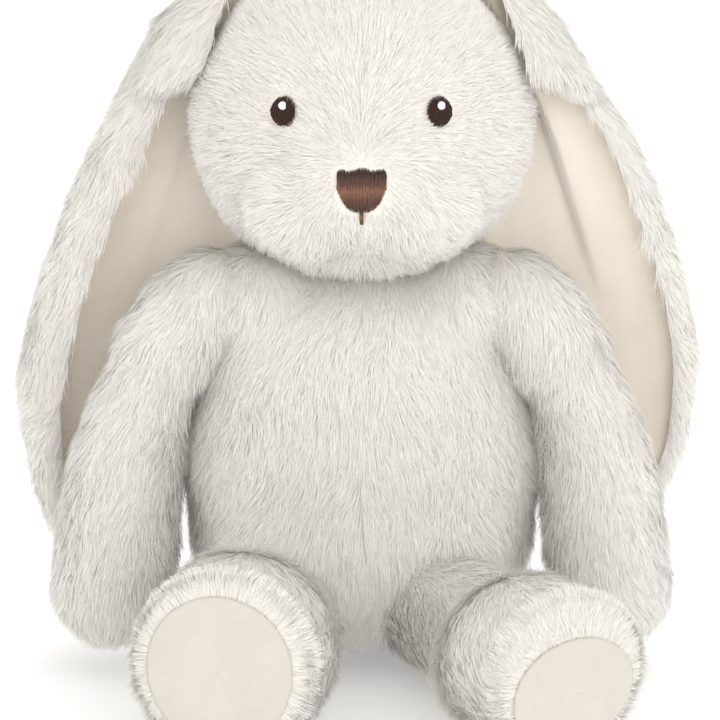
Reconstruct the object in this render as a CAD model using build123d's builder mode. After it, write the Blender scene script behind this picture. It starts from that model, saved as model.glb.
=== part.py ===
from build123d import *
import os
from math import cos, radians, sin, sqrt

# A stuffed bunny rabbit of long-pile fur fabric that sits with its legs forward and its long ears hanging.
# Every limb is a stuffed tube of fur panels, sewn on by a ring of thread, so each one turns in a soft socket.
# The frame: +Z up, the bunny faces -Y, +X is its left side as it looks out, "right" in the names is +X.
# The origin is the middle of the flat of the seat, on the surface that it sits on. All sizes are in millimetres.

# Fabric and fill
PILE = 5.0  # fur fabric, backing and pile together
FILL_GAP = 0.4  # between a fur panel and the fill inside it
THREAD = 0.8  # radius of a sewing thread, doubled and waxed
SOCKET_GAP = 2.6  # room in a limb's socket for the ring of thread that sews it on

# Body: an egg, cut off flat where it sits, with a roll across the top that squares its shoulders
BODY_CENTRE = (0, -14, 62)
BODY_RADII = (70, 52, 90)
YOKE_CENTRE, YOKE_RADIUS, YOKE_REACH = (0, -16, 127), 24, 34
SIDE_SEAM_Y = -8.0
BACK_SEAM = 1.8  # width of the closing seam down the back
CLOSING_HEIGHTS = (34, 60, 86, 112)

# Head: nearly a ball, with a low muzzle in front
HEAD_CENTRE = (0, -22, 219)
HEAD_RADII = (67, 60, 65)
HEAD_SEAM_Y = -6.0
MUZZLE_CENTRE = (0, -68, 202)
MUZZLE_RADII = (31, 19, 25)

# Face, embroidered into the pile
EYE_X, EYE_Z = 30.0, 227.5
EYE_RADII = (5.1, 5.9)
GLINT_RADIUS, GLINT_RAISE = 1.4, 2.4
NOSE_Z, NOSE_WIDTH, NOSE_HEIGHT = 199.5, 18.5, 16.0
LIP_WIDTH, LIP_LENGTH = 1.8, 6.0
STITCH_DEPTH = 2.0
STITCH_SUNK = 2.2  # the stitching pulls the pile down by this much

# Neck: a plug of packed fill with a ball in the head and a stem in the body
NECK = (0, -18, 164)
NECK_BALL, NECK_STEM, NECK_FOOT = 17.0, 13.0, 126.0
NECK_RING_Z = 152.2
RUNNING = 0.5

# Arms: (centre, radius) from the shoulder ball to the hand
ARM_STATIONS = [
    ((56, -28, 146), 17.0),
    ((73, -31, 133), 17.5),
    ((87, -34, 106), 20.5),
    ((95, -35, 68), 24.0),
    ((98.5, -36, 35), 25.0),
]

# Legs, in the hip's own frame with the leg along -Y: (distance, height, radius), then the foot
HIP = (31, -48, 29)
LEG_STATIONS = [(0, 0, 26.0), (34, 0.5, 25.0), (62, 1.5, 24.0), (84, 2.0, 24.0)]
FOOT_DISTANCE, FOOT_DEPTH, FOOT_LIFT = 92.0, 46.0, 0.6
FOOT_RADII = {"left": (36.0, 37.5), "right": (36.0, 32.5)}  # half width, half height of a slumped foot
FOOT_FRONT_ROUND, FOOT_BACK_ROUND = 9.0, 14.0
SOLE_THICKNESS = 3.0
SOLES = {"left": (-1.5, 26.5, 27.0), "right": (-6.5, 26.5, 19.5)}  # rise on the foot, half width, half height
LEG_POSE = {"left": (9.0, 4.0), "right": (20.0, 14.0)}  # splay of the leg, turn of the foot on it, in degrees

# Ears, cut flat and hanging in a plane that leans back as it goes down
EAR_ROOT = (53, -10, 268)
EAR_LEAN = 6.5  # degrees
EAR_LINING_TOP = 246  # the lining starts below the root
EAR_BACK, EAR_LINING = 6.0, 2.6  # thicknesses of the fur back and the velour lining
EAR_ROOT_RADIUS, EAR_SOCKET = 7.0, 12.4
EAR_OUTER = [(8, 5), (24, -4), (43, -35), (61, -70), (76, -112), (86, -152), (88, -176), (83, -208), (71, -234)]
EAR_INNER = [(43, -229), (30, -190), (23, -150), (20.5, -104), (20.5, -70), (20, -42), (17, -24), (9.5, -9)]
EAR_TIP = (57, -242)
EAR_MIDDLE, EAR_LINING_SHARE = (50, -125), 0.96  # the lining is the same shape, a little smaller
EAR_DROP = {"left": 1.0, "right": 0.92}  # one ear buckles more, so it hangs shorter

# Tail and the pouch of pellets that weights the seat
TAIL_CENTRE, TAIL_RADIUS, TAIL_ROOM = (0, 45, 37), 17.0, 3.4
POUCH_CENTRE, POUCH_RADII, POUCH_CLOTH = (0, 6, 21), (35, 17, 13), 0.9

SIDES = {"left": -1, "right": 1}


def ellipsoid(centre, radii):
    """A ball stretched to three radii."""
    with BuildPart() as form:
        Sphere(1)
        scale(by=tuple(float(radius) for radius in radii))
    return form.part.moved(Location(centre))


def shrunk(radii, inset):
    """Radii drawn in by an inset."""
    return [radius - inset for radius in radii]


def ball(centre, radius):
    """A plain ball, used for sockets."""
    with BuildPart() as form:
        with Locations(centre):
            Sphere(radius)
    return form.part


def tube(stations, inset):
    """A limb: circles lofted along its (centre, radius) stations, with a ball at each end."""
    centres = [Vector(*centre) for centre, _ in stations]
    spine = Spline(*centres)
    end_share = 0.985  # the loft ends a little inside the balls, so that their skins cross cleanly
    with BuildPart() as form:
        for index, (centre, radius) in enumerate(stations):
            share = end_share if index in (0, len(stations) - 1) else 1.0
            along = spine.tangent_at(spine.param_at_point(centres[index]))
            with BuildSketch(Plane(origin=centre, z_dir=along)):
                Circle((radius - inset) * share)
        loft()
        for centre, radius in (stations[0], stations[-1]):
            with Locations(centre):
                Sphere(radius - inset)
    return form.part


def thread_ring(centre, axis, ring_radius):
    """A closed ring of sewing thread."""
    with BuildPart() as form:
        with Locations(Plane(origin=centre, z_dir=axis)):
            Torus(ring_radius, THREAD)
    return form.part


def socket_ring(centre, axis, ball_radius, ring_radius):
    """The ring that sews a limb on: it lies in the gap of the limb's socket, on the side that axis points to."""
    reach = sqrt((ball_radius + SOCKET_GAP / 2) ** 2 - ring_radius**2)
    return thread_ring(Vector(*centre) + Vector(*axis).normalized() * reach, axis, ring_radius)


def yoke(inset):
    """The roll across the shoulders, round at both ends."""
    radius = YOKE_RADIUS - inset
    slant = radius * sqrt(0.5)
    with BuildPart() as form:
        with BuildSketch(Plane.XZ):
            with BuildLine():
                ThreePointArc((-YOKE_REACH - radius, 0), (-YOKE_REACH - slant, slant), (-YOKE_REACH, radius))
                Line((-YOKE_REACH, radius), (YOKE_REACH, radius))
                ThreePointArc((YOKE_REACH, radius), (YOKE_REACH + slant, slant), (YOKE_REACH + radius, 0))
                Line((YOKE_REACH + radius, 0), (-YOKE_REACH - radius, 0))
            make_face()
        revolve(axis=Axis.X)
    return form.part.moved(Location(YOKE_CENTRE))


def body_form(inset):
    """The outside of the body, drawn in by an inset."""
    with BuildPart() as form:
        add(ellipsoid(BODY_CENTRE, shrunk(BODY_RADII, inset)))
        add(yoke(inset))
    return form.part


def cut(whole, *tools):
    """What is left of a solid once the tools are taken away."""
    with BuildPart() as form:
        add(whole)
        for tool in tools:
            add(tool, mode=Mode.SUBTRACT)
    return form.part


def half(whole, plane, keep):
    """The part of a solid on one side of a plane."""
    with BuildPart() as form:
        add(whole)
        split(bisect_by=plane, keep=keep)
    return form.part


def mirrored(point, side):
    """A point of the right side, moved to the named side."""
    return (point[0] * side, point[1], point[2])


def save(name, part):
    """Labels a finished piece and writes it under its node's name."""
    part.label = name
    export_step(part, f"parts/{name}.step")


# ---------------------------------------------------------------- where things sit


def head_front(x, z):
    """The point of the head's front at x and z, without the muzzle, and the way that it faces."""
    across, up = x / HEAD_RADII[0], (z - HEAD_CENTRE[2]) / HEAD_RADII[2]
    forward = -sqrt(1 - across**2 - up**2)
    facing = Vector(across / HEAD_RADII[0], forward / HEAD_RADII[1], up / HEAD_RADII[2]).normalized()
    return Vector(x, HEAD_CENTRE[1] + forward * HEAD_RADII[1], z), facing


def back_depth(z):
    """How far back the middle of the back panel's thickness lies at a height."""
    up = (z - BODY_CENTRE[2]) / (BODY_RADII[2] - PILE / 2)
    return BODY_CENTRE[1] + (BODY_RADII[1] - PILE / 2) * sqrt(1 - up**2)


def leg_frame(name):
    """The place of a leg: its hip, turned by its splay."""
    side = SIDES[name]
    return Location(mirrored(HIP, side), (0, 0, side * LEG_POSE[name][0]))


def foot_plane(name, distance):
    """The plane across a foot at a distance from its middle, facing the way its sole faces, in the leg's frame."""
    turn = radians(SIDES[name] * LEG_POSE[name][1])
    facing = Vector(sin(turn), -cos(turn), 0)
    rise = FOOT_LIFT + FOOT_RADII[name][1] - HIP[2]
    middle = Vector(0, -FOOT_DISTANCE, rise)
    return Plane(origin=middle + facing * distance, x_dir=(cos(turn), sin(turn), 0), z_dir=facing)


# ---------------------------------------------------------------- sub-parts


def limb_room():
    """Everything that is cut out of the body so that the arms, legs, tail and neck can turn."""
    tools = [ball(TAIL_CENTRE, TAIL_RADIUS + TAIL_ROOM)]
    hip_reach = LEG_STATIONS[0][2] + SOCKET_GAP
    wide, deep = 100.0, 120.0  # more than the body
    for side in SIDES.values():
        tools.append(ball(mirrored(ARM_STATIONS[0][0], side), ARM_STATIONS[0][1] + SOCKET_GAP))
        tools.append(ball(mirrored(HIP, side), hip_reach))
    # Below and in front of the hips the body ends in a step, round in the corner, where the thighs pass.
    with BuildPart() as step:
        with BuildSketch(Plane.YZ):
            with Locations((HIP[1] - deep / 2, HIP[2] + hip_reach - deep / 2)):
                Rectangle(deep, deep)
            with Locations((HIP[1] + hip_reach - deep / 2, HIP[2] - deep / 2)):
                Rectangle(deep, deep)
            with Locations((HIP[1], HIP[2])):
                Circle(hip_reach)
        extrude(amount=wide, both=True)
    tools.append(step.part)
    with BuildPart() as bore:
        with Locations((NECK[0], NECK[1], NECK_FOOT - RUNNING)):
            Cylinder(NECK_STEM + RUNNING, wide, align=(Align.CENTER, Align.CENTER, Align.MIN))
    tools.append(bore.part)
    return tools


def make_body():
    room = limb_room()
    seat = Plane.XY
    above_seat = Plane.XY.offset(PILE)
    outer = half(body_form(0), seat, Keep.TOP)
    outer = cut(outer, *room)
    save("seat_panel", half(outer, above_seat, Keep.BOTTOM))
    skin = cut(half(outer, above_seat, Keep.TOP), body_form(PILE))
    side_seam = Plane.XZ.offset(-SIDE_SEAM_Y)
    save("belly_panel", half(skin, side_seam, Keep.TOP))
    back = half(skin, side_seam, Keep.BOTTOM)
    save("back_right_panel", half(back, Plane.YZ.offset(BACK_SEAM / 2), Keep.TOP))
    save("back_left_panel", half(back, Plane.YZ.offset(-BACK_SEAM / 2), Keep.BOTTOM))
    fill = half(body_form(PILE + FILL_GAP), above_seat.offset(FILL_GAP), Keep.TOP)
    pouch_room = ellipsoid(POUCH_CENTRE, shrunk(POUCH_RADII, -FILL_GAP))
    save("body_stuffing", cut(fill, *room, pouch_room))
    lining = ellipsoid(POUCH_CENTRE, shrunk(POUCH_RADII, POUCH_CLOTH))
    save("pellet_pouch", cut(ellipsoid(POUCH_CENTRE, POUCH_RADII), lining))
    save("pellet_load", ellipsoid(POUCH_CENTRE, shrunk(POUCH_RADII, POUCH_CLOTH + FILL_GAP)))


def make_closing_thread():
    """The thread that closes the back after stuffing, lying down the seam above the tail."""
    first = TAIL_CENTRE[2] + TAIL_RADIUS + TAIL_ROOM + 4
    heights = [first] + [z for z in CLOSING_HEIGHTS if z > first + 5]
    with BuildPart() as thread:
        with BuildLine():
            run = Spline(*[(0, back_depth(z), z) for z in heights])
        with BuildSketch(Plane(origin=run @ 0, z_dir=run % 0)):
            Circle(THREAD)
        sweep()
    save("back_closing_thread", thread.part)


def make_neck():
    with BuildPart() as plug:
        with Locations(NECK):
            Sphere(NECK_BALL)
        with Locations((NECK[0], NECK[1], NECK_FOOT)):
            Cylinder(NECK_STEM, NECK[2] - NECK_FOOT, align=(Align.CENTER, Align.CENTER, Align.MIN))
    save("neck_stuffing", plug.part)
    save("neck_seam_thread", thread_ring((NECK[0], NECK[1], NECK_RING_Z), (0, 0, 1), NECK_STEM + 3))


def nose_outline():
    """The nose: a rounded shield, wide above and narrow below."""
    with BuildSketch() as outline:
        with BuildLine():
            Polyline(
                (-NOSE_WIDTH / 2, NOSE_HEIGHT / 2),
                (NOSE_WIDTH / 2, NOSE_HEIGHT / 2),
                (NOSE_WIDTH / 2, -NOSE_HEIGHT * 0.05),
                (NOSE_WIDTH * 0.14, -NOSE_HEIGHT / 2),
                (-NOSE_WIDTH * 0.14, -NOSE_HEIGHT / 2),
                (-NOSE_WIDTH / 2, -NOSE_HEIGHT * 0.05),
                close=True,
            )
        make_face()
        fillet(outline.vertices(), NOSE_WIDTH * 0.13)
    return outline.sketch


def sunk_patch(place, outline, depth, sunk):
    """(a stitched patch of an outline lying sunk below place, the pit in the pile above it)."""
    with BuildPart() as patch:
        with BuildSketch(place.offset(-sunk - depth)):
            add(outline)
        extrude(amount=depth)
    with BuildPart() as pit:
        with BuildSketch(place.offset(-sunk - depth)):
            add(outline)
        extrude(amount=depth + sunk + PILE * 2)
    return patch.part, pit.part


def face_patches():
    """{name: stitched patch} and the pits that they lie in."""
    patches, pits = {}, []
    with BuildSketch() as eye_outline:
        Ellipse(*EYE_RADII)
    with BuildSketch() as glint_outline:
        Circle(GLINT_RADIUS)
    for name, side in SIDES.items():
        point, facing = head_front(side * EYE_X, EYE_Z)
        across = Vector(0, 0, 1).cross(facing)
        place = Plane(origin=point, x_dir=across, z_dir=facing)
        eye, pit = sunk_patch(place, eye_outline.sketch, STITCH_DEPTH, STITCH_SUNK)
        patches[f"{name}_eye"] = eye
        pits.append(pit)
        glint_place = Plane(origin=place.from_local_coords((0, GLINT_RAISE, 0)), x_dir=across, z_dir=facing)
        glint, _ = sunk_patch(glint_place, glint_outline.sketch, THREAD, STITCH_SUNK - THREAD)
        patches[f"{name}_eye_glint"] = glint
    tip = (0, MUZZLE_CENTRE[1] - MUZZLE_RADII[1], NOSE_Z)
    front = Plane(origin=tip, x_dir=(1, 0, 0), z_dir=(0, -1, 0))
    patches["nose"], pit = sunk_patch(front, nose_outline(), STITCH_DEPTH, STITCH_SUNK)
    pits.append(pit)
    with BuildSketch() as lip_outline:
        with Locations((0, -NOSE_HEIGHT / 2 - LIP_LENGTH / 2)):
            Rectangle(LIP_WIDTH, LIP_LENGTH)
    patches["lip_stitch"], pit = sunk_patch(front, lip_outline.sketch, STITCH_DEPTH, STITCH_SUNK)
    pits.append(pit)
    return patches, pits


def ear_sheet(name, start, thickness, share):
    """A flat sheet of an ear, from start to start + thickness in front of the plane that the ear hangs in."""
    lean = radians(EAR_LEAN)
    side, drop = SIDES[name], EAR_DROP[name]
    middle_x, middle_z = EAR_MIDDLE
    points = []
    for x, z in EAR_OUTER + [EAR_TIP] + EAR_INNER:
        points.append((side * (middle_x + (x - middle_x) * share), drop * (middle_z + (z - middle_z) * share)))
    top = (side * (middle_x * (1 - share) - EAR_ROOT_RADIUS * share), drop * middle_z * (1 - share))
    plane = Plane(origin=mirrored(EAR_ROOT, side), x_dir=(1, 0, 0), z_dir=(0, -cos(lean), -sin(lean)))
    with BuildPart() as sheet:
        with BuildSketch(plane.offset(start)):
            with BuildLine():
                edge = Spline(*points)
                ThreePointArc(edge @ 1, top, edge @ 0)
            make_face()
        extrude(amount=thickness)
    return sheet.part


def make_head():
    patches, pits = face_patches()
    for name, patch in patches.items():
        save(name, patch)
    sockets = [ball(NECK, NECK_BALL + RUNNING)] + [ball(mirrored(EAR_ROOT, s), EAR_SOCKET) for s in SIDES.values()]
    with BuildPart() as whole:
        add(ellipsoid(HEAD_CENTRE, HEAD_RADII))
        add(ellipsoid(MUZZLE_CENTRE, MUZZLE_RADII))
    inside = ellipsoid(HEAD_CENTRE, shrunk(HEAD_RADII, PILE))
    skin = cut(whole.part, inside, *sockets, *pits)
    seam = Plane.XZ.offset(-HEAD_SEAM_Y)
    save("head_back_panel", half(skin, seam, Keep.BOTTOM))
    face = half(skin, seam, Keep.TOP)
    save("face_right_panel", half(face, Plane.YZ, Keep.TOP))
    save("face_left_panel", half(face, Plane.YZ, Keep.BOTTOM))
    fill = ellipsoid(HEAD_CENTRE, shrunk(HEAD_RADII, PILE + FILL_GAP))
    save("head_stuffing", cut(fill, *sockets, *pits))


def make_ear(name):
    halfway = (EAR_BACK + EAR_LINING) / 2
    save(f"{name}_ear_back", ear_sheet(name, -halfway, EAR_BACK, 1.0))
    lining = ear_sheet(name, EAR_BACK - halfway, EAR_LINING, EAR_LINING_SHARE)
    save(f"{name}_ear_lining", half(lining, Plane.XY.offset(EAR_LINING_TOP), Keep.BOTTOM))
    root = mirrored(EAR_ROOT, SIDES[name])
    ring = EAR_ROOT_RADIUS * 0.8
    save(f"{name}_ear_seam_thread", socket_ring(root, (-SIDES[name], 0, 0), EAR_SOCKET - SOCKET_GAP, ring))


def make_arm(name):
    side = SIDES[name]
    stations = [(mirrored(centre, side), radius) for centre, radius in ARM_STATIONS]
    skin = cut(tube(stations, 0), tube(stations, PILE))
    side_seam = Plane.XZ.offset(-ARM_STATIONS[2][0][1])
    save(f"{name}_arm_front_panel", half(skin, side_seam, Keep.TOP))
    save(f"{name}_arm_back_panel", half(skin, side_seam, Keep.BOTTOM))
    save(f"{name}_arm_stuffing", tube(stations, PILE + FILL_GAP))
    shoulder, radius = stations[0]
    save(f"{name}_arm_seam_thread", socket_ring(shoulder, (-side, 0, 0), radius, radius * 0.65))


def leg_form(name, inset):
    """A leg and its foot in the hip's frame, cut off flat at the sole."""
    stations = [((0, -distance, rise), radius) for distance, rise, radius in LEG_STATIONS]
    wide, tall = FOOT_RADII[name]
    with BuildPart() as foot:
        with BuildSketch(foot_plane(name, -FOOT_DEPTH / 2 + inset)):
            Ellipse(wide - inset, tall - inset)
        extrude(amount=FOOT_DEPTH - inset)
        ordered = foot.edges().filter_by(GeomType.LINE, reverse=True).sort_by(Axis.Y)
        fillet(ordered[-1], FOOT_BACK_ROUND - inset)
        if not inset:
            fillet(foot.edges().filter_by(GeomType.LINE, reverse=True).sort_by(Axis.Y)[0], FOOT_FRONT_ROUND)
    with BuildPart() as form:
        add(tube(stations, inset))
        add(foot.part)
    return form.part


def make_leg(name):
    place = leg_frame(name)
    skin = cut(leg_form(name, 0), leg_form(name, PILE)).moved(place)
    middle = Plane.YZ.location
    seam = Plane(place * middle)
    outer, inner = (Keep.TOP, Keep.BOTTOM) if SIDES[name] > 0 else (Keep.BOTTOM, Keep.TOP)
    save(f"{name}_leg_outer_panel", half(skin, seam, outer))
    save(f"{name}_leg_inner_panel", half(skin, seam, inner))
    save(f"{name}_leg_stuffing", leg_form(name, PILE + FILL_GAP).moved(place))
    with BuildPart() as sole:
        rise, half_width, half_height = SOLES[name]
        with BuildSketch(foot_plane(name, FOOT_DEPTH / 2)):
            with Locations((0, rise)):
                Ellipse(half_width, half_height)
        extrude(amount=SOLE_THICKNESS)
    save(f"{name}_sole", sole.part.moved(place))
    hip = mirrored(HIP, SIDES[name])
    thigh = LEG_STATIONS[0][2]
    save(f"{name}_leg_seam_thread", socket_ring(hip, (0, 1, 0), thigh, thigh * 0.75))


def make_tail():
    skin = cut(ball(TAIL_CENTRE, TAIL_RADIUS), ball(TAIL_CENTRE, TAIL_RADIUS - PILE))
    save("tail_fur", skin)
    save("tail_stuffing", ball(TAIL_CENTRE, TAIL_RADIUS - PILE - FILL_GAP))


os.makedirs("parts", exist_ok=True)
make_body()
make_closing_thread()
make_neck()
make_head()
make_tail()
for side_name in SIDES:
    make_ear(side_name)
    make_arm(side_name)
    make_leg(side_name)
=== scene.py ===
import math

import bmesh
import bpy
import numpy as np
from mathutils import Matrix, Vector
from mathutils.bvhtree import BVHTree
from mathutils.kdtree import KDTree


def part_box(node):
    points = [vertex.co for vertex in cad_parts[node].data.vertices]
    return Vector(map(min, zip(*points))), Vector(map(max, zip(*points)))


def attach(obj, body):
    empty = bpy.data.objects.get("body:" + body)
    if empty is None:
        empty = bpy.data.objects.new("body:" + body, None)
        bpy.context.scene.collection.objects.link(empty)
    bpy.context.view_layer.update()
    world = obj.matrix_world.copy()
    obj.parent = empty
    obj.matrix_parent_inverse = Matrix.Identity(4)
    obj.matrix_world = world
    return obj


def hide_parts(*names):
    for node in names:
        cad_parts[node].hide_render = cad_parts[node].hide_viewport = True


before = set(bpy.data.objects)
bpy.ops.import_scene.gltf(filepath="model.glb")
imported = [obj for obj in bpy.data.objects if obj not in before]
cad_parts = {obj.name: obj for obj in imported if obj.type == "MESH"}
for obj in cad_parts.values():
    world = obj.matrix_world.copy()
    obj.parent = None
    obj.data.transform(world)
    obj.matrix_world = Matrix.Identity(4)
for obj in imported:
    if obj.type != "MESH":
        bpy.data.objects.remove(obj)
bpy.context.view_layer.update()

MM = 0.001
SIDES = {"left": -1, "right": 1}
UP = np.array([0.0, 0.0, 1.0])
FLOOR_CLEAR = 0.5  # no strand goes below this height, in mm
MOST_STRANDS = 66000  # in one piece of fur


# ------------------------------------------------------------------ materials


def material(name, colour, roughness=0.9, sheen=0.0):
    """A plain principled material, ready for nodes to be added."""
    mat = bpy.data.materials.new(name)
    mat.use_nodes = True
    shader = mat.node_tree.nodes["Principled BSDF"]
    shader.inputs["Base Color"].default_value = (*colour, 1)
    shader.inputs["Roughness"].default_value = roughness
    shader.inputs["Specular IOR Level"].default_value = 0.25
    shader.inputs["Sheen Weight"].default_value = sheen
    shader.inputs["Sheen Roughness"].default_value = 0.5
    return mat, mat.node_tree, shader


def mottled(name, light, dark, scale, bump, fine, sheen=0.3, stretch=(1, 1, 1)):
    """Cloth whose colour drifts between two shades, with a fine raised grain."""
    mat, tree, shader = material(name, light, 0.95, sheen)
    place = tree.nodes.new("ShaderNodeTexCoord")
    aim = tree.nodes.new("ShaderNodeMapping")
    aim.inputs["Scale"].default_value = stretch
    drift = tree.nodes.new("ShaderNodeTexNoise")
    drift.inputs["Scale"].default_value = scale
    drift.inputs["Detail"].default_value = 5
    drift.inputs["Roughness"].default_value = 0.6
    ramp = tree.nodes.new("ShaderNodeValToRGB")
    ramp.color_ramp.elements[0].position = 0.32
    ramp.color_ramp.elements[0].color = (*dark, 1)
    ramp.color_ramp.elements[1].position = 0.68
    ramp.color_ramp.elements[1].color = (*light, 1)
    grain = tree.nodes.new("ShaderNodeTexNoise")
    grain.inputs["Scale"].default_value = fine
    grain.inputs["Detail"].default_value = 3
    raised = tree.nodes.new("ShaderNodeBump")
    raised.inputs["Strength"].default_value = bump
    raised.inputs["Distance"].default_value = 0.0006
    link = tree.links.new
    link(place.outputs["Object"], aim.inputs["Vector"])
    link(aim.outputs["Vector"], drift.inputs["Vector"])
    link(aim.outputs["Vector"], grain.inputs["Vector"])
    link(drift.outputs["Fac"], ramp.inputs["Fac"])
    link(ramp.outputs["Color"], shader.inputs["Base Color"])
    link(grain.outputs["Fac"], raised.inputs["Height"])
    link(raised.outputs["Normal"], shader.inputs["Normal"])
    return mat


FUR_TONES = [
    material("fur_light", (0.945, 0.932, 0.90), 0.8, 0.2)[0],
    material("fur_middle", (0.885, 0.862, 0.818), 0.85, 0.2)[0],
    material("fur_cool", (0.815, 0.797, 0.76), 0.85, 0.2)[0],
]
FUR_BACKING = mottled("fur_backing", (0.92, 0.875, 0.81), (0.89, 0.84, 0.775), 60, 0.6, 1800)
VELOUR = mottled("velour", (0.935, 0.87, 0.775), (0.905, 0.835, 0.73), 45, 0.5, 2600, 0.5, (1, 1, 0.35))
SOLE_VELOUR = mottled("sole_velour", (0.70, 0.675, 0.605), (0.665, 0.635, 0.56), 70, 0.6, 2400, 0.5)
THREAD = mottled("sewing_thread", (0.82, 0.77, 0.68), (0.74, 0.69, 0.6), 300, 0.4, 4000, 0.2)
BROWN = mottled("eye_thread", (0.055, 0.026, 0.017), (0.03, 0.014, 0.01), 900, 0.5, 5000, 0.1)
PAINTED_GLINT_WHITE = mottled("painted_glint_thread", (0.9, 0.9, 0.9), (0.8, 0.8, 0.82), 900, 0.3, 5000, 0.1)


def nose_material_painted_sheen():
    """Satin stitching: dark brown above, a painted copper sheen highlight across the middle, brown below."""
    mat, tree, shader = material("nose_thread", (0.2, 0.1, 0.06), 0.45, 0.1)
    place = tree.nodes.new("ShaderNodeTexCoord")
    split = tree.nodes.new("ShaderNodeSeparateXYZ")
    wander = tree.nodes.new("ShaderNodeTexNoise")
    wander.inputs["Scale"].default_value = 700
    mix = tree.nodes.new("ShaderNodeMath")
    mix.operation = "MULTIPLY_ADD"
    mix.inputs[1].default_value = 0.3
    ramp = tree.nodes.new("ShaderNodeValToRGB")
    # The copper stop at 0.64 is a painted sheen highlight; the lip stitch uses the same material.
    shades_with_painted_sheen = [
        (0.15, (0.07, 0.026, 0.014)),
        (0.45, (0.11, 0.042, 0.022)),
        (0.64, (0.24, 0.11, 0.062)),
        (0.78, (0.10, 0.04, 0.021)),
        (1.0, (0.04, 0.016, 0.01)),
    ]
    for index, (position, colour) in enumerate(shades_with_painted_sheen):
        stop = ramp.color_ramp.elements[index] if index < 2 else ramp.color_ramp.elements.new(position)
        stop.position = position
        stop.color = (*colour, 1)
    link = tree.links.new
    link(place.outputs["Generated"], split.inputs["Vector"])
    link(place.outputs["Object"], wander.inputs["Vector"])
    link(wander.outputs["Fac"], mix.inputs[0])
    link(split.outputs["Z"], mix.inputs[2])
    link(mix.outputs["Value"], ramp.inputs["Fac"])
    link(ramp.outputs["Color"], shader.inputs["Base Color"])
    shader.inputs["Specular IOR Level"].default_value = 0.5
    return mat


NOSE_PAINTED_SHEEN = nose_material_painted_sheen()


# ------------------------------------------------------------------ meshes


def shown(name, mesh):
    """A new object in the scene."""
    ob = bpy.data.objects.new(name, mesh)
    bpy.context.scene.collection.objects.link(ob)
    return ob


def settle(ob):
    """Applies an object's modifiers."""
    graph = bpy.context.evaluated_depsgraph_get()
    mesh = bpy.data.meshes.new_from_object(ob.evaluated_get(graph))
    ob.modifiers.clear()
    ob.data = mesh


def coords(mesh):
    """The points of a mesh, in metres."""
    flat = np.empty(len(mesh.vertices) * 3, np.float32)
    mesh.vertices.foreach_get("co", flat)
    return flat.reshape(-1, 3).astype(np.float64)


def set_coords(mesh, points):
    mesh.vertices.foreach_set("co", points.astype(np.float32).ravel())
    mesh.update()


def keep_largest(ob):
    """Drops every island of the mesh but the one with the largest box."""
    bm = bmesh.new()
    bm.from_mesh(ob.data)
    left, best, size = set(bm.verts), None, -1
    while left:
        island, stack = set(), [left.pop()]
        while stack:
            vert = stack.pop()
            island.add(vert)
            for edge in vert.link_edges:
                other = edge.other_vert(vert)
                if other in left:
                    left.discard(other)
                    stack.append(other)
        points = np.array([v.co[:] for v in island])
        extent = float(np.linalg.norm(points.max(0) - points.min(0)))
        if extent > size:
            best, size = island, extent
    bmesh.ops.delete(bm, geom=[v for v in bm.verts if v not in best], context="VERTS")
    bm.to_mesh(ob.data)
    bm.free()


def stuffed(name, node, extra=(), voxel=2.6, soften=8, swell=2.2):
    """The backing of a stuffed part: the shape of its CAD fill, with further ellipsoids joined on."""
    bm = bmesh.new()
    bm.from_mesh(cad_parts[node].data)
    for centre, radii in extra:
        place = Matrix.Translation([c * MM for c in centre]) @ Matrix.Diagonal((*[r * MM for r in radii], 1))
        bmesh.ops.create_icosphere(bm, subdivisions=4, radius=1, matrix=place)
    mesh = bpy.data.meshes.new(name)
    bm.to_mesh(mesh)
    bm.free()
    ob = shown(name, mesh)
    grid = ob.modifiers.new("grid", "REMESH")
    grid.mode = "VOXEL"
    grid.voxel_size = voxel * MM
    soft = ob.modifiers.new("soften", "SMOOTH")
    soft.factor = 0.5
    soft.iterations = soften
    settle(ob)
    keep_largest(ob)
    normals = np.empty(len(ob.data.vertices) * 3, np.float32)
    ob.data.vertices.foreach_get("normal", normals)
    set_coords(ob.data, coords(ob.data) + normals.reshape(-1, 3) * swell * MM)
    ob.data.materials.append(FUR_BACKING)
    ob.data.shade_smooth()
    return ob


def thicken(ob, thickness, offset, mat):
    """Gives a sheet its thickness in mm and its material."""
    thick = ob.modifiers.new("thick", "SOLIDIFY")
    thick.thickness = thickness * MM
    thick.offset = offset
    settle(ob)
    ob.data.materials.append(mat)
    ob.data.shade_smooth()


def puff(obs, pressure=3.0, cap=1.6, steps=20):
    """Blows stuffed parts up a little as cloth, by no more than cap mm."""
    rest = {ob: coords(ob.data) for ob in obs}
    for ob in obs:
        cloth = ob.modifiers.new("cloth", "CLOTH")
        cloth.settings.quality = 4
        cloth.settings.mass = 0.2
        cloth.settings.tension_stiffness = 12
        cloth.settings.compression_stiffness = 12
        cloth.settings.bending_stiffness = 0.8
        cloth.settings.use_pressure = True
        cloth.settings.uniform_pressure_force = pressure
        cloth.settings.effector_weights.gravity = 0
        cloth.collision_settings.use_self_collision = False
        cloth.collision_settings.use_collision = False
    for step in range(1, steps + 1):
        bpy.context.scene.frame_set(step)
    for ob in obs:
        graph = bpy.context.evaluated_depsgraph_get()
        moved = coords(ob.evaluated_get(graph).to_mesh()) - rest[ob]
        far = np.linalg.norm(moved, axis=1, keepdims=True)
        moved *= np.minimum(1, cap * MM / np.maximum(far, 1e-9))
        ob.modifiers.clear()
        set_coords(ob.data, rest[ob] + np.nan_to_num(moved))
    bpy.context.scene.frame_set(1)


# ------------------------------------------------------------------ fur


def unit(v):
    return v / np.maximum(np.linalg.norm(v, axis=-1, keepdims=True), 1e-12)


def flat_on(direction, normals):
    """The part of a direction that lies along the surface."""
    return unit(direction - (direction * normals).sum(1, keepdims=True) * normals)


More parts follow.
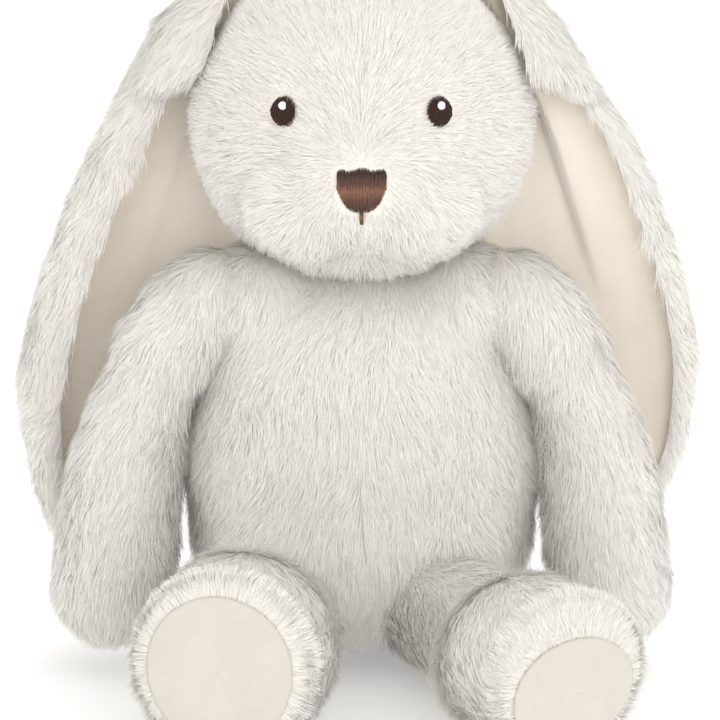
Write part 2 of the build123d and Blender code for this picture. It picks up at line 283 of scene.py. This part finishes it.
def waves(points, seed, size):
    """A smooth random vector at each point, in mm, that changes over about the given size."""
    rng = np.random.default_rng(seed)
    out = np.zeros_like(points)
    for octave in range(5):
        k = rng.normal(size=(3, 3)) * (2 * math.pi / size) * (0.45 + 0.3 * octave)
        phase = rng.uniform(0, 2 * math.pi, 3)
        out += np.sin(points @ k.T + phase) / (1 + 0.5 * octave)
    return out / 2.2


def triangles(mesh):
    """Corner points and corner normals of a mesh's triangles, in mm."""
    mesh.calc_loop_triangles()
    index = np.empty(len(mesh.loop_triangles) * 3, np.int32)
    mesh.loop_triangles.foreach_get("vertices", index)
    normals = np.empty(len(mesh.vertices) * 3, np.float32)
    mesh.vertices.foreach_get("normal", normals)
    index = index.reshape(-1, 3)
    return (coords(mesh) / MM)[index], normals.reshape(-1, 3).astype(np.float64)[index]


PER_TUFT = 16  # strands that lean together
STRAND_WIDTH = 0.33
TONE_SHARES = (0.5, 0.33, 0.17)
TIP_SHADE = np.array([0.0, 0.0, 0.04, 0.04, 0.1])  # how far the shading leans along a strand, point by point


def scatter(base, density, rng):
    """Random places on a mesh with the skin's normal at each, in mm. density is per square mm."""
    corners, corner_normals = triangles(base.data)
    sides = np.cross(corners[:, 1] - corners[:, 0], corners[:, 2] - corners[:, 0])
    areas = 0.5 * np.linalg.norm(sides, axis=1)
    count = int(areas.sum() * density)
    pick = rng.choice(len(areas), count, p=areas / areas.sum())
    a, b = rng.random(count), rng.random(count)
    over = a + b > 1
    a[over], b[over] = 1 - a[over], 1 - b[over]
    share = np.stack([1 - a - b, a, b], 1)[:, :, None]
    roots = (corners[pick] * share).sum(1)
    normals = unit((corner_normals[pick] * share).sum(1))
    return roots, normals


def tufted(roots, middle, tips, clump, rng):
    """Draws strands together, at their tips more than at their middles, round a strand picked for each tuft."""
    count = len(roots)
    tufts = max(count // PER_TUFT, 1)
    tree = KDTree(tufts)
    heads = rng.choice(count, tufts, replace=False)
    for number, head in enumerate(heads):
        tree.insert(roots[head], number)
    tree.balance()
    nearest = heads[np.fromiter((tree.find(p)[1] for p in roots), np.int64, count)]
    pull = (clump * rng.uniform(0.3, 1.3, count) * (1 - np.exp(-3 * rng.random(count))))[:, None]
    return middle + (middle[nearest] - middle) * pull * 0.35, tips + (tips[nearest] - tips) * pull


def fur(name, base, density, length, comb, seed, keep=None, scale=None, lift=(38, 18), swirl=0.42, clump=0.4):
    """A piece of long pile: tapered strands, combed along the skin, lifted by two angles, in tufts."""
    rng = np.random.default_rng(seed)
    roots, normals = scatter(base, density, rng)
    if keep is not None:
        chosen = keep(roots, normals)
        roots, normals = roots[chosen], normals[chosen]
    count = len(roots)
    if count > MOST_STRANDS:
        raise SystemExit(f"{name}: {count} strands is too many for one piece")
    along = flat_on(comb(roots, normals), normals)
    drift = swirl * waves(roots, seed + 1, 26) + 0.5 * swirl * waves(roots, seed + 2, 9)
    along = flat_on(along + drift, normals)
    along = flat_on(along + 0.16 * rng.normal(size=(count, 3)), normals)
    reach = length * rng.uniform(0.7, 1.15, count) * (1 + 0.12 * waves(roots, seed + 3, 14)[:, 0])
    if scale is not None:
        reach = reach * scale(roots, normals)
    lying = 1 - 0.75 * np.clip(normals[:, 2], 0, 1)  # its own weight lays the pile down on top
    rise = lift[0] + 9 * rng.normal(size=count) + 8 * waves(roots, seed + 4, 11)[:, 1]
    rise = np.radians(lying * rise)[:, None]
    fall = np.radians(lying * (lift[1] + 9 * rng.normal(size=count)))[:, None]
    first = np.cos(rise) * along + np.sin(rise) * normals
    last = np.cos(fall) * along + np.sin(fall) * normals
    roots = roots - 0.3 * normals
    middle = roots + first * reach[:, None] * 0.5
    tips = middle + last * reach[:, None] * 0.5
    middle, tips = tufted(roots, middle, tips, clump, rng)
    for points in (roots, middle, tips):
        points[:, 2] = np.maximum(points[:, 2], FLOOR_CLEAR)
    return ribbons(name, roots, middle, tips, normals, STRAND_WIDTH * rng.uniform(0.75, 1.2, count), rng)


def ribbons(name, roots, middle, tips, normals, widths, rng):
    """Tapered two-part ribbons through points in mm, shaded like the skin that they stand on."""
    count = len(roots)
    across = unit(np.cross(tips - roots, normals))
    roll = np.radians(rng.uniform(-35, 35, count))[:, None]
    across = across * np.cos(roll) + normals * np.sin(roll)
    half = (widths / 2)[:, None]
    points = np.empty((count, 5, 3))
    points[:, 0] = roots - across * half
    points[:, 1] = roots + across * half
    points[:, 2] = middle - across * half * 0.85
    points[:, 3] = middle + across * half * 0.85
    points[:, 4] = tips
    face = np.cross(points[:, 1] - points[:, 0], points[:, 2] - points[:, 0])
    flip = (face * normals).sum(1) < 0
    faces = np.array([[0, 1, 3], [0, 3, 2], [2, 3, 4]])
    index = np.arange(count)[:, None, None] * 5 + faces[None]
    index[flip] = index[flip][:, :, ::-1]
    mesh = bpy.data.meshes.new(name)
    mesh.vertices.add(count * 5)
    mesh.vertices.foreach_set("co", (points * MM).astype(np.float32).ravel())
    mesh.loops.add(count * 9)
    mesh.loops.foreach_set("vertex_index", index.astype(np.int32).ravel())
    mesh.polygons.add(count * 3)
    mesh.polygons.foreach_set("loop_start", np.arange(0, count * 9, 3, dtype=np.int32))
    mesh.polygons.foreach_set("loop_total", np.full(count * 3, 3, np.int32))
    mesh.update(calc_edges=True)
    for tone in FUR_TONES:
        mesh.materials.append(tone)
    tone = rng.choice(3, count, p=TONE_SHARES).astype(np.int32)
    mesh.polygons.foreach_set("material_index", np.repeat(tone, 3))
    lean = unit(tips - roots)
    shade = unit(np.repeat(normals[:, None], 5, 1) + TIP_SHADE[None, :, None] * lean[:, None])
    custom = mesh.attributes.new("custom_normal", "FLOAT_VECTOR", "POINT")
    custom.data.foreach_set("vector", shade.astype(np.float32).ravel())
    return shown(name, mesh)


# ------------------------------------------------------------------ stuffed parts


def box_mm(node):
    low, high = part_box(node)
    return np.array(low) / MM, np.array(high) / MM


def middle_mm(node):
    low, high = box_mm(node)
    return (low + high) / 2


HEAD_MID = middle_mm("head_stuffing")
NOSE_MID = middle_mm("nose")
EYES = {side: middle_mm(f"{side}_eye") for side in SIDES}
FACE = np.array([0.0, NOSE_MID[1], NOSE_MID[2] + 6])  # where the face's pile parts

CHEST = [
    ((0, -17, 135), (57, 36, 26)),
    ((0, -17, 113), (62, 42, 38)),
    ((0, -17, 84), (68, 44, 62)),
    ((0, -30, 54), (58, 33, 40)),
    *(((sign * 41, -21, 149), (22, 24, 18)) for sign in SIDES.values()),
]
MUZZLE = [
    ((0, NOSE_MID[1] + 14.8, NOSE_MID[2] + 1), (27, 15, 22)),
    *(((sign * 19, -63, 193), (21, 16, 18)) for sign in SIDES.values()),
]
SHOULDER = ((59, -27, 150, 16), (67, -29, 143, 17), (75, -31, 131, 17))  # x, y, z, radius

torso = stuffed("torso_backing", "body_stuffing", CHEST, soften=45)
neck = stuffed("neck_backing", "neck_stuffing", voxel=2.0, soften=4)
head = stuffed("head_backing", "head_stuffing", MUZZLE, soften=14)
arms, legs = {}, {}
for side, sign in SIDES.items():
    balls = [((sign * x, y, z), (r, r, r)) for x, y, z, r in SHOULDER]
    arms[side] = stuffed(f"{side}_arm_backing", f"{side}_arm_stuffing", balls, soften=32)
for side in SIDES:
    legs[side] = stuffed(f"{side}_leg_backing", f"{side}_leg_stuffing", soften=14)
tail = stuffed("tail_backing", "tail_stuffing", voxel=1.8, soften=3)
puff([torso, head, *arms.values(), *legs.values()])

backings = {"body": torso, "neck": neck, "head": head, "tail": tail}
for side in SIDES:
    backings[f"{side}_arm"] = arms[side]
    backings[f"{side}_leg"] = legs[side]
for body, ob in backings.items():
    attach(ob, body)
    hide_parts(f"{body}_stuffing")


def wear(ob, body, nodes):
    """Hangs a piece of fur on its body and hides the CAD panels it replaces. Pile is thin enough to pass light,
    so its strands cast no hard shadow.
    """
    ob.visible_shadow = False
    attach(ob, body)
    if nodes:
        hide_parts(*nodes)


# ------------------------------------------------------------------ comb directions, for fur


def comb_down(p, n):
    """Down the body, and a little outward from its middle line."""
    d = np.zeros_like(p)
    d[:, 2] = -1
    d[:, 0] = 0.25 * np.sign(p[:, 0]) * np.minimum(np.abs(p[:, 0]) / 40, 1)
    return d


def comb_head(p, n):
    """Away from the nose over the face, then back and down."""
    away = unit(p - FACE)
    away[:, 2] -= 0.35
    away[:, 1] += 0.25
    return away


def comb_along(direction):
    """The same way all over."""

    def comb(p, n):
        return unit(np.array(direction, float)) + 0 * p

    return comb


def near_face_features(p):
    """True where an eye or the nose is, so that no pile grows over it."""
    hit = np.zeros(len(p), bool)
    for eye in EYES.values():
        hit |= ((p[:, 0] - eye[0]) / 5.6) ** 2 + ((p[:, 2] - eye[2]) / 6.4) ** 2 < 1
    wide = 9.6 - 0.35 * np.clip(NOSE_MID[2] - 1 - p[:, 2], 0, 9)
    hit |= (np.abs(p[:, 0]) < wide) & (np.abs(p[:, 2] - NOSE_MID[2]) < 8.6)
    return hit & (p[:, 1] < HEAD_MID[1])


def face_length(p, n):
    """Shorter pile round the eyes and nose, full length on the cheeks and the crown."""
    behind = 100 * (p[:, 1] > HEAD_MID[1])
    away = np.linalg.norm((p - NOSE_MID)[:, [0, 2]], axis=1) + behind - 9
    for eye in EYES.values():
        away = np.minimum(away, np.linalg.norm((p - eye)[:, [0, 2]], axis=1) + behind - 5)
    return np.clip(0.45 + away / 34, 0.45, 1.0)


# ------------------------------------------------------------------ fur

DENSE = 2.9  # strands to the square mm
PILE = 11  # length in mm
SIDE_SEAM_Y, HEAD_SEAM_Y = -8.0, -6.0
SEAT_NORMAL = -0.8  # cloth that faces further down than this is the seat
SEAT_MIDDLE = np.array([0, -14.0, 20.0])

for seed, (side, sign) in enumerate(SIDES.items()):
    piece = fur(f"belly_{side}_fur", torso, DENSE, PILE, comb_down, 11 + 5 * seed,
                keep=lambda p, n, s=sign: (p[:, 1] < SIDE_SEAM_Y) & (p[:, 0] * s > 0))
    wear(piece, "body", ["belly_panel"])
for seed, (side, sign) in enumerate(SIDES.items()):

    def on_back(p, n, s=sign):
        return (p[:, 1] >= SIDE_SEAM_Y) & (p[:, 0] * s > 0) & (n[:, 2] > SEAT_NORMAL)

    piece = fur(f"back_{side}_fur", torso, DENSE, PILE, comb_down, 21 + seed, keep=on_back)
    wear(piece, "body", [f"back_{side}_panel"])
seat_fur = fur("seat_fur", torso, 1.2, 7, lambda p, n: p - SEAT_MIDDLE, 29,
               keep=lambda p, n: (p[:, 1] >= SIDE_SEAM_Y) & (n[:, 2] <= SEAT_NORMAL))
wear(seat_fur, "body", ["seat_panel"])
neck_fur = fur("neck_fur", neck, 1.6, 9, comb_down, 31, keep=lambda p, n: (p[:, 2] > 146) & (p[:, 2] < 168))
wear(neck_fur, "neck", [])

for seed, (side, sign) in enumerate(SIDES.items()):
    piece = fur(f"face_{side}_fur", head, DENSE, 10, comb_head, 41 + seed,
                keep=lambda p, n, s=sign: (p[:, 1] < HEAD_SEAM_Y) & (p[:, 0] * s > 0) & ~near_face_features(p),
                scale=face_length, lift=(34, 14))
    wear(piece, "head", [f"face_{side}_panel"])
head_back_fur = fur("head_back_fur", head, DENSE, PILE, comb_head, 45, keep=lambda p, n: p[:, 1] >= HEAD_SEAM_Y)
wear(head_back_fur, "head", ["head_back_panel"])

for seed, (side, sign) in enumerate(SIDES.items()):
    reach = comb_along((sign * 37, -6, -130))
    seam = middle_mm(f"{side}_arm_stuffing")[1] - 1
    halves = {"front": lambda p, n, y=seam: p[:, 1] < y, "back": lambda p, n, y=seam: p[:, 1] >= y}
    for seed2, (part, want) in enumerate(halves.items()):
        piece = fur(f"{side}_arm_{part}_fur", arms[side], DENSE, PILE, reach, 51 + seed + 2 * seed2, keep=want)
        wear(piece, f"{side}_arm", [f"{side}_arm_{part}_panel"])


def facing_of(points):
    """The forward normal of a flat patch, and the level direction across it."""
    facing = unit(np.linalg.svd(points - points.mean(0))[2][2])
    facing = facing if facing[1] < 0 else -facing
    return facing, unit(np.cross(UP, facing))


HIP = np.array([31.0, -48, 29])  # the right one
SOLE_HALF_WIDTH = 26.5
SOLES = {}
for seed, (side, sign) in enumerate(SIDES.items()):
    points = coords(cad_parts[f"{side}_sole"].data) / MM
    centre = points.mean(0)
    facing, over = facing_of(points)
    half_height = (points[:, 2].max() - points[:, 2].min()) / 2
    SOLES[side] = (centre, facing, over, half_height)

    def off_sole(p, n, c=centre, f=facing, o=over, tall=half_height):
        rel = p - c
        flat = (rel @ o / (SOLE_HALF_WIDTH - 1.5)) ** 2 + (rel[:, 2] / (tall - 1.5)) ** 2 < 1
        return ~(flat & (rel @ f > -9))

    def comb_leg(p, n, c=centre, f=facing, o=over):
        """Forward along the leg, and outward round the rim of the foot."""
        rel = p - c
        depth = rel @ f
        out = rel - depth[:, None] * f
        near = np.clip(1 + depth / 14, 0, 1)[:, None]
        aside = np.tanh(rel @ o / 9)[:, None] * o
        return (0.8 - 0.4 * near) * f + near * 2.2 * unit(out) + (1 - near) * (0.6 * aside - 0.4 * UP)

    def rim(p, n, c=centre, f=facing):
        """Shorter pile where the foot's edge meets the sole."""
        return 1 - 0.42 * np.clip(1 + ((p - c) @ f) / 10, 0, 1)

    def outer(p, h=HIP * (sign, 1, 1), t=np.cross(facing, UP), s=sign):
        return ((p - h) @ t) * s > 0

    halves = {
        "outer": lambda p, n, clear=off_sole, out=outer: clear(p, n) & out(p),
        "inner": lambda p, n, clear=off_sole, out=outer: clear(p, n) & ~out(p),
    }
    for seed2, (part, want) in enumerate(halves.items()):
        piece = fur(f"{side}_leg_{part}_fur", legs[side], DENSE, PILE, comb_leg, 61 + 2 * seed + seed2,
                    keep=want, scale=rim, lift=(22, 8), swirl=0.25, clump=0.25)
        wear(piece, f"{side}_leg", [f"{side}_leg_{part}_panel"])

tail_fur = fur("tail_tuft", tail, 2.5, PILE, lambda p, n: n + np.array([0, 0.3, -0.5]), 71, lift=(50, 30))
wear(tail_fur, "tail", ["tail_fur"])


# ------------------------------------------------------------------ soles


def sole(side):
    """A short-napped velour patch, laid on the end of the stuffed foot and drawn in at its stitched edge."""
    centre, facing, over, half_height = SOLES[side]
    wide, tall = SOLE_HALF_WIDTH + 0.5, half_height + 0.5
    up = np.cross(facing, over)
    leg = legs[side].data
    foot = BVHTree.FromPolygons([tuple(p) for p in coords(leg) / MM], [tuple(f.vertices) for f in leg.polygons])
    rings, spokes = 30, 96
    verts, faces = [], []
    for ring in range(rings + 1):
        r = ring / rings
        for spoke in range(spokes):
            t = 2 * math.pi * spoke / spokes
            spot = centre + over * wide * r * math.cos(t) + up * tall * r * math.sin(t)
            hit = foot.ray_cast(Vector(spot + facing * 40), Vector(-facing), 80)[0]
            depth = max(float((np.array(hit) - spot) @ facing), -5.0) if hit else -5.0
            verts.append(spot + facing * (depth + 1.5 - 0.9 * r ** 8))
    for ring in range(rings):
        for spoke in range(spokes):
            a, b = ring * spokes + spoke, ring * spokes + (spoke + 1) % spokes
            faces.append((a, b, b + spokes, a + spokes))
    points = np.array(verts)
    points += facing * (0.3 * waves(points, 81, 17)[:, :1] + 0.15 * waves(points, 82, 7)[:, :1])
    mesh = bpy.data.meshes.new(f"{side}_sole_patch")
    mesh.from_pydata([tuple(p * MM) for p in points], [], faces)
    ob = shown(f"{side}_sole_patch", mesh)
    thicken(ob, 1.2, 0, SOLE_VELOUR)
    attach(ob, f"{side}_leg")
    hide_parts(f"{side}_sole")


for side in SIDES:
    sole(side)


# ------------------------------------------------------------------ ears

EAR_TABLE = {  # (drop below the root, inner x, outer x), measured from the middle of the head
    "left": [
        (-6, 46, 54), (0, 43, 65), (10, 44, 76), (38, 45, 91), (71, 45, 108), (110, 47, 124),
        (148, 55, 134), (168, 62, 135), (200, 74, 131), (222, 90, 123), (236, 103, 113),
    ],
    "right": [
        (-6, 46, 54), (0, 43, 64), (10, 44, 73), (34, 47, 88), (59, 46, 105), (90, 46, 118),
        (122, 49, 128), (150, 58, 132), (180, 72, 130), (206, 88, 121), (220, 101, 112),
    ],
}
FOLD = {"left": 1.5, "right": 9.0}  # how far a lengthwise fold stands forward
ROLL = {"left": (12.0, 205), "right": (6.5, 190)}  # radius and sweep of the rolled outer edge
ROOT_Y, ROOT_Z, LEAN = -10.0, 268.0, math.tan(math.radians(6.5))


ROLLED_SHUT = (218, 24)  # above this height the roll widens, until it hides the lining this much higher up
BOW, LIP = 3.0, 5.0  # how far the sheet bows back, and how far its inner edge turns forward


def ear_edge(drop, table, column):
    """One edge of an ear at every drop, with its corners rounded off."""
    kernel = np.ones(9) / 9
    return np.convolve(np.pad(np.interp(drop, table[:, 0], table[:, column]), 4, "edge"), kernel, "valid")


def ear_grid(side, rows=120, columns=64, inset=0.0):
    """Points of an ear's sheet, from root to tip by from inner to outer edge."""
    sign = SIDES[side]
    table = np.array(EAR_TABLE[side], float)
    radius, sweep = ROLL[side]
    step = np.linspace(0, 1, rows)
    drop = np.interp(step, np.linspace(0, 1, len(table)), table[:, 0])
    inner, outer = ear_edge(drop, table, 1), ear_edge(drop, table, 2)
    grid = np.empty((rows, columns, 3))
    for row in range(rows):
        width = outer[row] - inner[row]
        swell = math.sin(math.pi * min(max(step[row] * 1.12, 0.06), 0.94)) ** 0.5
        r = max(min(radius * swell, width * 0.4), 1.2)
        closed = min(max((ROOT_Z - drop[row] - ROLLED_SHUT[0]) / ROLLED_SHUT[1], 0), 1)
        r = max(r, 0.44 * width * closed * closed * (3 - 2 * closed))
        flat = width - r
        s = np.linspace(0, flat + math.radians(sweep) * r, columns)
        bent = s > flat
        turn = np.clip(s - flat, 0, None) / r - math.pi / 2
        across = np.where(bent, inner[row] + flat + (r - inset) * np.cos(turn), inner[row] + s)
        bow = BOW * np.sin(math.pi * np.clip(s / flat, 0, 1)) * min(1, width / 40)
        lip = LIP * np.clip(1 - s / (0.22 * flat), 0, 1) ** 2
        forward = np.where(bent, r + (r - inset) * np.sin(turn), inset - bow + lip)
        from_crease = s / flat - (0.42 + 0.4 * step[row])
        pleat = np.exp(-((from_crease / np.where(from_crease > 0, 0.3, 0.035)) ** 2))
        fade = np.clip(step[row] * 12, 0, 1) * np.clip((0.62 - step[row]) / 0.2, 0, 1)
        forward += FOLD[side] * pleat * fade
        grid[row, :, 0] = sign * across
        grid[row, :, 1] = ROOT_Y + max(drop[row], 0) * LEAN - forward + 2.0
        grid[row, :, 2] = ROOT_Z - drop[row]
    points = grid.reshape(-1, 3)
    ripple = 1.3 * waves(points * np.array([1, 0, 0.55]), 91 + sign, 44)[:, 1]
    ripple += 0.5 * waves(points, 93, 16)[:, 1]
    points[:, 1] += ripple * np.clip((ROOT_Z - points[:, 2]) / 60, 0, 1)
    return points.reshape(rows, columns, 3)


def grid_mesh(name, grid, flip):
    rows, columns = grid.shape[:2]
    faces = []
    for row in range(rows - 1):
        for column in range(columns - 1):
            a = row * columns + column
            quad = (a, a + 1, a + columns + 1, a + columns)
            faces.append(quad[::-1] if flip else quad)
    mesh = bpy.data.meshes.new(name)
    mesh.from_pydata([tuple(p * MM) for p in grid.reshape(-1, 3)], [], faces)
    mesh.update()
    return mesh


def ear(side, sign, seed):
    """A fur sheet with its pile outward, and a velour lining inside its curve."""
    grid = ear_grid(side)
    back = shown(f"{side}_ear_backing", grid_mesh(f"{side}_ear_backing", grid, sign < 0))
    hang = lambda p, n: np.array([sign * 0.45, 0.0, -1.0]) + 0 * p
    wear(fur(f"{side}_ear_fur", back, DENSE * 1.02, 11.5, hang, seed), f"{side}_ear", [])
    thicken(back, 1.2, -1, FUR_BACKING)
    lining_grid = ear_grid(side, inset=1.6)[5:-3, 1:-1]
    lining = shown(f"{side}_ear_velour", grid_mesh(f"{side}_ear_velour", lining_grid, sign < 0))
    thicken(lining, 0.7, 0, VELOUR)
    for ob, node, cloth, points in ((back, "back", "fur", grid), (lining, "lining", "velour", lining_grid)):
        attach(ob, f"{side}_ear")
        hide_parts(f"{side}_ear_{node}")


for seed, (side, sign) in enumerate(SIDES.items()):
    ear(side, sign, 95 + seed)


# ------------------------------------------------------------------ embroidery


def stitches(name, runs, radius, mat, node):
    """Satin stitching: each run is a row of points in mm, made into a thread that thins at its ends."""
    verts, faces = [], []
    sides = 6
    around = [2 * math.pi * t / sides for t in range(sides)]
    for run in runs:
        run = np.array(run, float)
        along = unit(np.gradient(run, axis=0))
        first = unit(np.cross(along, np.array([0.0, 1.0, 0.0]) + 0 * along))
        second = np.cross(along, first)
        base = len(verts)
        for k in range(len(run)):
            share = k / (len(run) - 1)
            r = radius * (0.35 + 0.65 * min(1, 6 * share, 6 * (1 - share)))
            for angle in around:
                verts.append(run[k] + r * (first[k] * math.cos(angle) + second[k] * math.sin(angle)))
        for k in range(len(run) - 1):
            for t in range(sides):
                nxt = (t + 1) % sides
                a = base + k * sides
                faces.append((a + t, a + nxt, a + sides + nxt, a + sides + t))
        faces.append(tuple(base + t for t in range(sides))[::-1])
        faces.append(tuple(base + (len(run) - 1) * sides + t for t in range(sides)))
    mesh = bpy.data.meshes.new(name)
    mesh.from_pydata([tuple(v * MM) for v in verts], [], faces)
    ob = shown(name, mesh)
    ob.data.materials.append(mat)
    ob.data.shade_smooth()
    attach(ob, "head")
    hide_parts(node)


def plane_of(node):
    """Middle, across, up and outward of a stitched patch."""
    points = coords(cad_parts[node].data) / MM
    facing, over = facing_of(points)
    return (points.min(0) + points.max(0)) / 2, over, np.cross(facing, over), facing


def satin(node, across_range, top, bottom, dome, gap, lift, rng, pad=0.0):
    """Upright stitches side by side between a top and a bottom outline."""
    middle, over, up, facing = plane_of(node)
    runs = []
    for x in np.arange(across_range[0], across_range[1] + 1e-6, gap):
        high, low = top(x), bottom(x)
        if high - low < 0.8:
            continue
        high += rng.uniform(-0.25, 0.25) + pad
        low += rng.uniform(-0.25, 0.25) - pad
        row = []
        for t in np.linspace(0, 1, 9):
            z = low + (high - low) * t
            out = lift + dome(x, z) - 1.3 * (2 * t - 1) ** 8
            row.append(middle + over * (x + 0.08 * rng.normal()) + up * z + facing * out)
        runs.append(row)
    return runs


def arch(x, wide, tall):
    """The height of an oval over a place on its long axis."""
    return tall * math.sqrt(max(0, 1 - (x / wide) ** 2))


def eye_top(x):
    return arch(x, 5.1, 5.9)


def eye_bottom(x):
    return -eye_top(x)


def eye_dome(x, z):
    return 1.3 * math.sqrt(max(0, 1 - (x / 5.6) ** 2 - (z / 6.4) ** 2))


def nose_top(x):
    return 7.6 + 0.5 * math.cos(3.2 * x / 4.6) - 1.6 * (abs(x) / 9.3) ** 6


def nose_bottom(x):
    return -8.6 + 9.0 * (abs(x) / 9.3) ** 3.0


def nose_dome(x, z):
    return arch(x, 10.4, 2.1) * arch(z, 12, 1)


stitch_rng = np.random.default_rng(5)
for side in SIDES:
    runs = satin(f"{side}_eye", (-5.0, 5.0), eye_top, eye_bottom, eye_dome, 0.42, 1.3, stitch_rng)
    stitches(f"{side}_eye_stitching", runs, 0.3, BROWN, f"{side}_eye")
    # The white glint stitches are a painted highlight: white thread laid where the eye's catch-light falls.
    middle, over, up, facing = plane_of(f"{side}_eye")
    runs = []
    for x in np.arange(-1.4, 1.41, 0.36):
        start, tall = middle + over * (x + 0.2), arch(x, 1.6, 1.7)
        steps = np.linspace(-1, 1, 7)
        runs.append([start + up * (2.2 + tall * t) + facing * (3.0 - 0.35 * t**4) for t in steps])
    stitches(f"{side}_painted_glint_stitching", runs, 0.26, PAINTED_GLINT_WHITE, f"{side}_eye_glint")

under = satin("nose", (-8.8, 8.8), nose_top, nose_bottom, nose_dome, 0.44, 0.6, stitch_rng)
over_runs = satin("nose", (-9.0, 9.0), nose_top, nose_bottom, nose_dome, 0.5, 1.0, stitch_rng, 0.2)
stitches("nose_stitching", under + over_runs, 0.31, NOSE_PAINTED_SHEEN, "nose")
middle, over, up, facing = plane_of("nose")
lip = []
for x in (-0.45, 0.0, 0.45):
    start, steps = middle + over * x, np.linspace(0, 1, 9)
    lip.append([start + up * (-7.2 - 6.2 * t) + facing * (2.0 - 0.9 * t) for t in steps])
stitches("lip_stitching", lip, 0.33, NOSE_PAINTED_SHEEN, "lip_stitch")

for name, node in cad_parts.items():
    mat = THREAD if "thread" in name else SOLE_VELOUR if name.startswith("pellet_") else None
    if mat:
        node.data.materials.clear()
        node.data.materials.append(mat)


# ------------------------------------------------------------------ stage, light and camera

floor_mesh = bpy.data.meshes.new("studio_floor")
bm = bmesh.new()
bmesh.ops.create_grid(bm, x_segments=2, y_segments=2, size=12.0)
bm.to_mesh(floor_mesh)
bm.free()
floor = shown("studio_floor", floor_mesh)
floor_mat, _, floor_shader = material("studio_floor", (0.93, 0.93, 0.93), 1.0)
floor_shader.inputs["Emission Color"].default_value = (1, 1, 1, 1)
floor_shader.inputs["Emission Strength"].default_value = 0.22
floor.data.materials.append(floor_mat)
floor.location.z = -0.0002

world = bpy.data.worlds.new("studio")
world.use_nodes = True
sky = world.node_tree.nodes["Background"].inputs
sky["Color"].default_value = (1, 0.982, 0.96, 1)
sky["Strength"].default_value = 1.0
bpy.context.scene.world = world


def softbox(name, place, target, size, power):
    """A round soft light that faces its target."""
    light = bpy.data.lights.new(name, "AREA")
    light.shape = "DISK"
    light.size = size
    light.energy = power
    ob = bpy.data.objects.new(name, light)
    bpy.context.scene.collection.objects.link(ob)
    ob.location = place
    ob.rotation_euler = (Vector(target) - ob.location).to_track_quat("-Z", "Y").to_euler()


softbox("key", (0.6, -2.0, 0.62), (0, 0, 0.12), 1.3, 8)
softbox("fill", (-0.9, -1.8, 0.4), (0, 0, 0.12), 1.5, 1.5)
softbox("rim", (0.3, 1.3, 1.4), (0, 0, 0.15), 1.0, 6)

CAMERA_PITCH, CAMERA_FAR, CAMERA_AT = 11.5, 1300.0, (-0.6, -10.0, 119.5)
camera_data = bpy.data.cameras.new("camera")
camera_data.lens = 162.5
camera_data.sensor_width = 36
camera_data.clip_end = 50
camera = bpy.data.objects.new("camera", camera_data)
bpy.context.scene.collection.objects.link(camera)
pitch = math.radians(CAMERA_PITCH)
camera.location = [
    CAMERA_AT[0] * MM,
    (CAMERA_AT[1] - CAMERA_FAR * math.cos(pitch)) * MM,
    (CAMERA_AT[2] + CAMERA_FAR * math.sin(pitch)) * MM,
]
camera.rotation_euler = (math.pi / 2 - pitch, 0, 0)
bpy.context.scene.camera = camera
bpy.context.scene.view_settings.view_transform = "Standard"
bpy.context.scene.view_settings.exposure = 0.0
